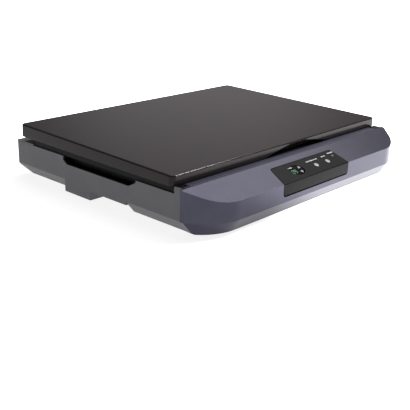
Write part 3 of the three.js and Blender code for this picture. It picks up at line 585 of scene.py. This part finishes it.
def panel_sides(s, first, last, margin):
    """Left and right edge of the fascia at a distance down it, with rounded corners."""
    share = min(1.0, (s - PANEL_START) / (SLOPE_LENGTH - PANEL_START))
    left = PANEL_LEFT_TOP + (PANEL_LEFT - PANEL_LEFT_TOP) * share - margin
    right = PANEL_RIGHT_TOP + (PANEL_RIGHT - PANEL_RIGHT_TOP) * share + margin
    pull = 0.0
    for gap, radius in ((s - first, PANEL_TOP_CORNER), (last - s, PANEL_CORNER)):
        if gap < radius:
            pull = radius - math.sqrt(max(0.0, radius ** 2 - (radius - gap) ** 2))
    return left + pull, right - pull


def fine_rows(rows):
    """Splits the first and last two steps of a path, so that the round corners are smooth."""
    fine = []
    last_step = len(rows) - 2
    for i, (a, b) in enumerate(zip(rows, rows[1:])):
        parts = 4 if i < 2 or i > last_step - 2 else 1
        fine += [tuple(p + (q - p) * k / parts for p, q in zip(a, b)) for k in range(parts)]
    return fine + [rows[-1]]


def panel_solid(margin, outside, inside, straight=None):
    """The fascia's plate; with straight set, its inner side is the surface moved along that direction."""
    across = 20
    fine = fine_rows(panel_path(margin))
    first, last = fine[0][4], fine[-1][4]
    bm = bmesh.new()
    layers = []
    for offset in (outside, -inside):
        grid = []
        for y, z, ny, nz, s in fine:
            left, right = panel_sides(s, first, last, margin)
            shift = straight if straight and offset < 0 else (ny * offset, nz * offset)
            grid.append([bm.verts.new((left + (right - left) * k / across, y + shift[0], z + shift[1]))
                         for k in range(across + 1)])
        layers.append(grid)
    for grid in layers:
        for low, high in zip(grid, grid[1:]):
            for k in range(across):
                bm.faces.new((low[k], low[k + 1], high[k + 1], high[k]))
    top, under = layers
    count = len(fine)
    rim = ([(r, 0) for r in range(count)] + [(count - 1, k) for k in range(1, across + 1)]
           + [(r, across) for r in range(count - 2, -1, -1)] + [(0, k) for k in range(across - 1, 0, -1)])
    for (r, k), (q, m) in zip(rim, rim[1:] + rim[:1]):
        bm.faces.new((top[r][k], top[q][m], under[q][m], under[r][k]))
    return bm


def arrow_outline(x, s, way, size, corner):
    """A triangle with round corners, on the slope."""
    base = -s - way * size * 0.6
    tips = [Vector((x - size, base)), Vector((x + size, base)), Vector((x, -s + way * size * 0.9))]
    if way < 0:
        tips.reverse()
    outline = []
    for i, tip in enumerate(tips):
        before = (tips[i - 1] - tip).normalized()
        after = (tips[(i + 1) % 3] - tip).normalized()
        for k in range(7):
            t = k / 6
            point = tip + before * corner * (1 - t) ** 2 + after * corner * t ** 2
            outline.append((point.x, point.y))
    return outline


def on_slope(bm):
    bmesh.ops.transform(bm, matrix=ON_SLOPE, verts=bm.verts)
    return bm


def channel_solid(down, up, margin=0.0):
    """Shallow trough in the deck along the lid's front, its two ends rounded at the front."""
    half, radius, steps = CHANNEL_HALF - margin, CHANNEL_CORNER, 8
    front, rear = CHANNEL_FRONT + margin, CHANNEL_REAR - margin
    outline = []
    for side, start in ((1, -90), (-1, 180)):
        turn = [math.radians(start + 90 * i / steps) for i in range(steps + 1)]
        cx, cy = side * (half - radius), front + radius
        corner = [(cx + radius * math.cos(a), cy + radius * math.sin(a)) for a in turn]
        rear_end = [(side * half, rear)]
        outline += corner + rear_end if side > 0 else rear_end + corner
    return extruded(outline, DECK_TOP - down, DECK_TOP + up)


def channel_cutter():
    return channel_solid(CHANNEL_DEPTH, 3 * MM)


def bezel_shell():
    mesh = finish_mesh(bezel_solid(0), "bezel_shell")
    bezel = add_object("bezel_shell", mesh, BEZEL_PAINT, "base", ["front_bezel"])
    hollow = bezel_solid(BEZEL_WALL)
    bmesh.ops.translate(hollow, vec=(0, 0.01 * MM, 0), verts=hollow.verts)
    opening = panel_solid(CLEARANCE, 3 * MM, 8 * MM, (6 * MM, -6 * MM))
    cut_away(bezel, [hollow, opening, channel_cutter()])
    soften(bezel, 1.3 * MM, 4, 18)


def bezel_deck():
    """The strip of deck behind the shell, under the lid's front edge."""
    half = CASE_HALF - BEZEL_WALL - CLEARANCE
    front, under = BEZEL_SEAM + 0.02 * MM, DECK_TOP - BEZEL_WALL
    profile = [(front, under), (DECK_REAR, under), (DECK_REAR, DECK_TOP), (front, DECK_TOP)]
    mesh = finish_mesh(extruded(profile, -half, half, side_on), "bezel_deck")
    deck = add_object("bezel_deck", mesh, BEZEL_PAINT, "base")
    cut_away(deck, [channel_cutter()])
    soften(deck, 0.2 * MM, 2, 40)


def channel_shade_lining():
    # a thin dark sheet in the trough, its colour painted shade from the lid above it
    lining = channel_solid(CHANNEL_DEPTH, CHANNEL_LINING - CHANNEL_DEPTH, 0.1 * MM)
    mesh = finish_mesh(lining, "channel_shade_lining")
    add_object("channel_shade_lining", mesh, CHANNEL_PAINTED_SHADE, "base")


def hole(outline):
    return extruded(outline, -CUTTER_REACH, CUTTER_REACH)


def panel_fascia():
    mesh = finish_mesh(panel_solid(0, PANEL_PROUD, PANEL_THICK - PANEL_PROUD), "panel_fascia")
    fascia = add_object("panel_fascia", mesh, PANEL_BLACK, "base", ["control_panel"])
    holes = [hole(circle(x, -s, BUTTON_RADIUS + CLEARANCE, 40)) for x, s in ROUNDS.values()]
    holes.append(hole(circle(STATUS_X, -STATUS_S, STATUS_HOLE, 28)))
    holes.append(hole(ellipse(DISPLAY_X, -DISPLAY_S, DISPLAY_A + CLEARANCE, DISPLAY_B + CLEARANCE, 64)))
    cut_away(fascia, [on_slope(cutter) for cutter in holes])
    soften(fascia, 0.35 * MM, 3, 40)


def display_lens():
    """The oval window, with a soft rim and holes for the arrow buttons."""
    rim = 0.5 * MM
    low, high = PANEL_PROUD - 1.6 * MM, LENS_TOP
    levels = [(0, low), (0, high - rim), (rim * 0.3, high - rim * 0.3), (rim, high),
              (3 * MM, high + 0.12 * MM)]
    rings = []
    for inset, z in levels:
        outline = ellipse(DISPLAY_X, -DISPLAY_S, DISPLAY_A - inset, DISPLAY_B - inset, 64)
        rings.append([(x, y, z) for x, y in outline])
    mesh = finish_mesh(rings_mesh(rings), "display_lens")
    lens = add_object("display_lens", mesh, WINDOW_BLACK, "base", ["display_window"])
    arrows = [arrow_outline(x, s, way, ARROW_SIZE + 0.7 * MM, 0.6 * MM) for x, s, way in ARROWS.values()]
    cut_away(lens, [hole(outline) for outline in arrows])
    lens.data.transform(ON_SLOPE)


def turned_on_slope(name, profile, steps, x, s):
    """A turned piece that stands square to the slope, its profile in millimetres."""
    place = ON_SLOPE @ Matrix.Translation((x, -s, 0))
    return finish_mesh(lathe(millimetres(profile), steps), name, place)


def round_buttons():
    profile = [(0, -9.5), (1.5, -9.5), (1.5, -4.4), (5.4, -4.4), (5.4, -3.2), (4.3, -3.2), (4.3, 0.3),
               (4.15, 0.44), (3.8, 0.54), (2.8, 0.62), (1.5, 0.68), (0, 0.7)]
    for name, (x, s) in ROUNDS.items():
        mesh = turned_on_slope(f"{name}_cap", profile, 48, x, s)
        add_object(f"{name}_cap", mesh, BUTTON_SILVER, name, [name])


def arrow_buttons():
    levels = [(0.0, -3.4), (0.0, 0.45), (0.15, 0.68), (0.45, 0.8)]
    stem = [(0, -9.5), (1.2, -9.5), (1.2, -3.4), (0, -3.4)]
    for name, (x, s, way) in ARROWS.items():
        rings = []
        for inset, z in levels:
            outline = arrow_outline(x, s, way, ARROW_SIZE - inset * 1.6 * MM, 0.9 * MM)
            rings.append([(a, b, z * MM) for a, b in outline])
        mesh = finish_mesh(rings_mesh(rings), f"{name}_cap", ON_SLOPE)
        add_object(f"{name}_cap", mesh, BUTTON_SILVER, name, [name])
        mesh = turned_on_slope(f"{name}_stem", stem, 20, x, s)
        add_object(f"{name}_stem", mesh, BUTTON_SILVER, name)


def status_lamp():
    profile = [(0, -6), (1.5, -6), (1.5, 0.2), (1.2, 0.42), (0.6, 0.55), (0, 0.6)]
    mesh = turned_on_slope("status_lamp", profile, 28, STATUS_X, STATUS_S)
    add_object("status_lamp", mesh, LAMP_LENS, "base", ["status_light"])


def flat_marks(name, boxes, finish, level):
    """Thin printed marks on the slope, each (x, s, width, height, lean)."""
    bm = bmesh.new()
    thick = 0.05 * MM
    for x, s, width, height, lean in boxes:
        a0, b0 = width / 2, height / 2
        corners = [(-a0, -b0), (a0, -b0), (a0, b0), (-a0, b0)]
        rows = []
        for z in (level, level + thick):
            rows.append([bm.verts.new((x + a + b * lean, -s + b, z)) for a, b in corners])
        low, high = rows
        bm.faces.new(list(reversed(low)))
        bm.faces.new(high)
        for i in range(4):
            j = (i + 1) % 4
            bm.faces.new((low[i], low[j], high[j], high[i]))
    return add_object(name, finish_mesh(bm, name, ON_SLOPE), finish, "base")


def label_marks(x, s, width, count):
    """A row of small marks in place of a printed word; sizes in millimetres."""
    pitch = width / count
    marks = []
    for i in range(count):
        share = random.uniform(0.5, 0.75)
        height = random.choice((1.5, 1.9, 2.3)) * MM
        marks.append(((x - width / 2 + pitch * (i + 0.5)) * MM, s * MM, pitch * share * MM, height, 0.0))
    return marks


def panel_labels():
    on_lens = label_marks(-51, 25.4, 11, 6)
    on_panel = label_marks(8, 23.8, 30, 11) + label_marks(41.5, 23.2, 11, 4) + label_marks(65, 20.6, 15, 5)
    flat_marks("panel_marks", on_panel, PRINT_WHITE, PANEL_PROUD)
    flat_marks("display_marks", on_lens, PRINT_WHITE, PRINT_ON_LENS)


def display_digits():
    """Two seven-segment digits; the letters name the segments that are lit."""
    width, height, thick = 4.4 * MM, 8.0 * MM, 0.9 * MM
    middle, lean = 35.6 * MM, 0.14
    level = {"a": -height / 2, "g": 0, "d": height / 2}
    upright_bars = {"f": (-1, -1), "b": (1, -1), "e": (-1, 1), "c": (1, 1)}
    bars = []
    for cx, lit in ((-54.1 * MM, "bcefad"), (-48.1 * MM, "abgcdf")):
        for key, dy in level.items():
            if key in lit:
                bars.append((cx - dy * lean, middle + dy, width - thick * 1.3, thick, lean))
        for key, (side, half) in upright_bars.items():
            if key in lit:
                dy = half * height / 4
                x = cx + side * width / 2 - dy * lean
                bars.append((x, middle + dy, thick, height / 2 - thick * 0.8, lean))
    flat_marks("display_digits", bars, DIGIT_GREEN, PRINT_ON_LENS)


# ---------- case and inner pieces ----------


def pad_outline(low, high, inset):
    """A box's plan with round corners, smaller by an inset, counter-clockwise."""
    radius, steps = 6 * MM, 6
    x0, x1 = low.x + inset + radius, high.x - inset - radius
    y0, y1 = low.y + inset + radius, high.y - inset - radius
    points = []
    for cx, cy, start in ((x1, y0, -90), (x1, y1, 0), (x0, y1, 90), (x0, y0, 180)):
        for i in range(steps + 1):
            angle = math.radians(start + 90 * i / steps)
            points.append((cx + radius * math.cos(angle), cy + radius * math.sin(angle)))
    return points


def foam_pad():
    """Soft document pad under the lid: a foam slab whose sides bulge between its two faces."""
    low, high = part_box("foam_pad")
    steps, bulge = 8, 0.9 * MM
    thick = high.z - low.z
    rings = []
    for i in range(steps + 1):
        share = i / steps
        inset = 1.0 * MM - bulge * (1 - (2 * share - 1) ** 2)
        rings.append([(x, y, low.z + thick * share) for x, y in pad_outline(low, high, inset)])
    mesh = finish_mesh(rings_mesh(rings), "document_pad", sharp=60)
    pad = add_object("document_pad", mesh, FOAM, "lid", ["foam_pad"])


def backing_sheet():
    low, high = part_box("backing_sheet")
    rings = [[(x, y, z) for x, y in pad_outline(low, high, 0)] for z in (low.z, high.z)]
    mesh = finish_mesh(rings_mesh(rings), "backing_film")
    sheet = add_object("backing_film", mesh, WHITE_SHEET, "lid", ["backing_sheet"])
    soften(sheet, 0.1 * MM, 2)


def socket_details():
    """The tongue inside the USB socket and the centre pin of the power socket."""
    half_wide, half_high = 2.7 * MM, 1.5 * MM
    x0, x1 = USB_X - half_wide, USB_X + half_wide
    z0, z1 = SOCKET_Z - half_high, SOCKET_Z + half_high
    tongue = extruded([(x0, z0), (x1, z0), (x1, z1), (x0, z1)], USB_BACK, TONGUE_END, front_on)
    piece = add_object("usb_tongue", finish_mesh(tongue, "usb_tongue"), MOULDED_BLACK, "base")
    soften(piece, 0.3 * MM, 2)
    pin = [(0, 0), (0.9, 0), (0.9, 8.2), (0.6, 8.9), (0, 9.1)]
    place = Matrix.Translation((POWER_X, POWER_BACK, SOCKET_Z)) @ Matrix.Rotation(-math.pi / 2, 4, "X")
    mesh = finish_mesh(lathe(millimetres(pin), 24), "power_pin", place)
    add_object("power_pin", mesh, STEEL, "base")


# finish, width of the rounded edges in millimetres, their segments, CAD nodes
REFINED = [
    (CASE_GREY, 1.0, 3, ["lower_case"]),
    (CASE_GREY, 1.4, 4, ["rear_deck"]),
    (FRAME_BLACK, 0.6, 2, ["top_frame"]),
    (FRAME_BLACK, 0.3, 2, ["lid_inner_panel"]),
    (CLEAR_GLASS, 0.3, 2, ["platen_glass", "sensor_window"]),
    (RUBBER, 0.8, 3, [n for n in frame["nodes"] if n.startswith("foot_")]),
    (RUBBER, 0.1, 1, ["drive_belt"]),
    (STEEL, 0.3, 2, ["motor_bracket", "idler_bracket", "guide_rod", "rod_clamp_left", "rod_clamp_right",
                     "usb_socket", "hinge_pin_left", "hinge_pin_right", "drive_motor"]),
    (STEEL, 0.15, 2, [n for n in frame["nodes"] if n.startswith("case_screw")]),
    (BRASS, 0.2, 2, ["motor_pinion", "rod_bushing"]),
    (MOULDED_BLACK, 0.4, 2, ["power_socket", "home_sensor", "carriage_frame", "sensor_bar", "belt_clamp",
                             "hinge_post_left", "hinge_post_right"]),
    (ACETAL, 0.2, 2, ["drive_gear", "idler_pulley", "glide_front", "glide_rear"]),
    (BOARD_GREEN, 0.2, 1, ["main_board", "panel_board", "sensor_board"]),
    (WHITE_SHEET, 0.1, 1, ["calibration_strip", "light_guide", "flex_cable"]),
    (CHIP_BLACK, 0.3, 2, ["display_module"]),
]


def refine_all():
    """Rounds and finishes the other CAD shapes; the springs stay as the frame's own nodes."""
    for finish, width, segments, nodes in REFINED:
        for node in nodes:
            refined(node, finish, width * MM, segments)
    for node in ("belt_tension_spring", "lift_spring_front", "lift_spring_rear"):
        frame["nodes"][node].data.materials.clear()
        frame["nodes"][node].data.materials.append(STEEL)


# ---------- camera, floor and light ----------


def camera():
    """Stands at the front left, looks down a little and leans slightly."""
    yaw, pitch, roll = math.radians(47.07), math.radians(20.08), math.radians(-1.2)
    ahead = Vector((math.sin(yaw) * math.cos(pitch), math.cos(yaw) * math.cos(pitch), -math.sin(pitch)))
    right = Vector((math.cos(yaw), -math.sin(yaw), 0))
    up = right.cross(ahead)
    across = right * math.cos(roll) - up * math.sin(roll)
    upward = up * math.cos(roll) + right * math.sin(roll)
    data = bpy.data.cameras.new("camera")
    data.lens = 64.83
    data.sensor_width = 36
    data.clip_start, data.clip_end = 0.05, 50
    cam = linked("camera", data)
    turn = Matrix((across, upward, -ahead)).transposed().to_4x4()
    cam.matrix_world = Matrix.Translation((-0.9531, -0.8617, 0.4033)) @ turn
    bpy.context.scene.camera = cam


def sky_light():
    """A very wide soft sun from above."""
    sun = bpy.data.lights.new("sky_light", "SUN")
    sun.energy = 1.45
    sun.angle = math.radians(53)
    lamp = linked("sky_light", sun)
    lamp.rotation_euler = Vector((-0.5, -0.28, -0.92)).to_track_quat("-Z", "Y").to_euler()


def edge_softbox():
    """A small lamp at the front right that lights up the rounded front edge of the lid."""
    place, target = Vector((0.55, -0.52, 0.85)), Vector((-0.15, -0.16, 0.08))
    data = bpy.data.lights.new("edge_softbox", "AREA")
    data.shape = "RECTANGLE"
    data.size, data.size_y = 0.2, 0.2
    data.energy = 10
    lamp = linked("edge_softbox", data)
    lamp.location = place
    lamp.rotation_euler = (target - place).to_track_quat("-Z", "Y").to_euler()


def graded(tree, coords, direction, low, high, dim, bright):
    """Brightness that rises from dim to bright as the dot product with a direction goes from low to high."""
    toward = tree.nodes.new("ShaderNodeVectorMath")
    toward.operation = "DOT_PRODUCT"
    toward.inputs[1].default_value = direction
    tree.links.new(coords, toward.inputs[0])
    shade = tree.nodes.new("ShaderNodeMapRange")
    shade.interpolation_type = "SMOOTHSTEP"
    shade.inputs["From Min"].default_value = low
    shade.inputs["From Max"].default_value = high
    shade.inputs["To Min"].default_value = dim
    shade.inputs["To Max"].default_value = bright
    tree.links.new(toward.outputs["Value"], shade.inputs["Value"])
    return shade.outputs["Result"]


def light_table():
    """A pale glowing floor, brighter to the right."""
    bm = bmesh.new()
    bmesh.ops.create_grid(bm, x_segments=8, y_segments=8, size=12)
    floor = linked("floor", finish_mesh(bm, "floor"))
    table = material("light_table", (0.42, 0.42, 0.42), 0.9, variation=0.004, depth=0.0,
                     Emission_Color=(1, 1, 1, 1))
    tree = table.node_tree
    place = tree.nodes.new("ShaderNodeTexCoord").outputs["Object"]
    glow = graded(tree, place, (0.97, 0.2, 0), -0.18, 0.0, 0.84, 2.9)
    tree.links.new(glow, tree.nodes["Principled BSDF"].inputs["Emission Strength"])
    floor.data.materials.append(table)


def dim_room():
    """A dim, slightly warm room with a brighter patch behind the object, which the lid mirrors."""
    world = bpy.data.worlds.new("studio")
    bpy.context.scene.world = world
    world.use_nodes = True
    tree = world.node_tree
    around = tree.nodes.new("ShaderNodeTexCoord").outputs["Generated"]
    glow = graded(tree, around, (0.704, 0.668, 0.242), 0.972, 1.0, 0.16, 0.45)
    tree.nodes["Background"].inputs["Color"].default_value = (1, 0.955, 0.975, 1)
    tree.links.new(glow, tree.nodes["Background"].inputs["Strength"])


def studio():
    light_table()
    dim_room()
    sky_light()
    edge_softbox()
    bpy.context.scene.view_settings.view_transform = "Standard"


camera()
studio()
lid_shell()
lid_notch()
hinge_knuckles()
bezel_shell()
bezel_deck()
channel_shade_lining()
panel_fascia()
display_lens()
round_buttons()
arrow_buttons()
status_lamp()
panel_labels()
display_digits()
foam_pad()
backing_sheet()
socket_details()
refine_all()
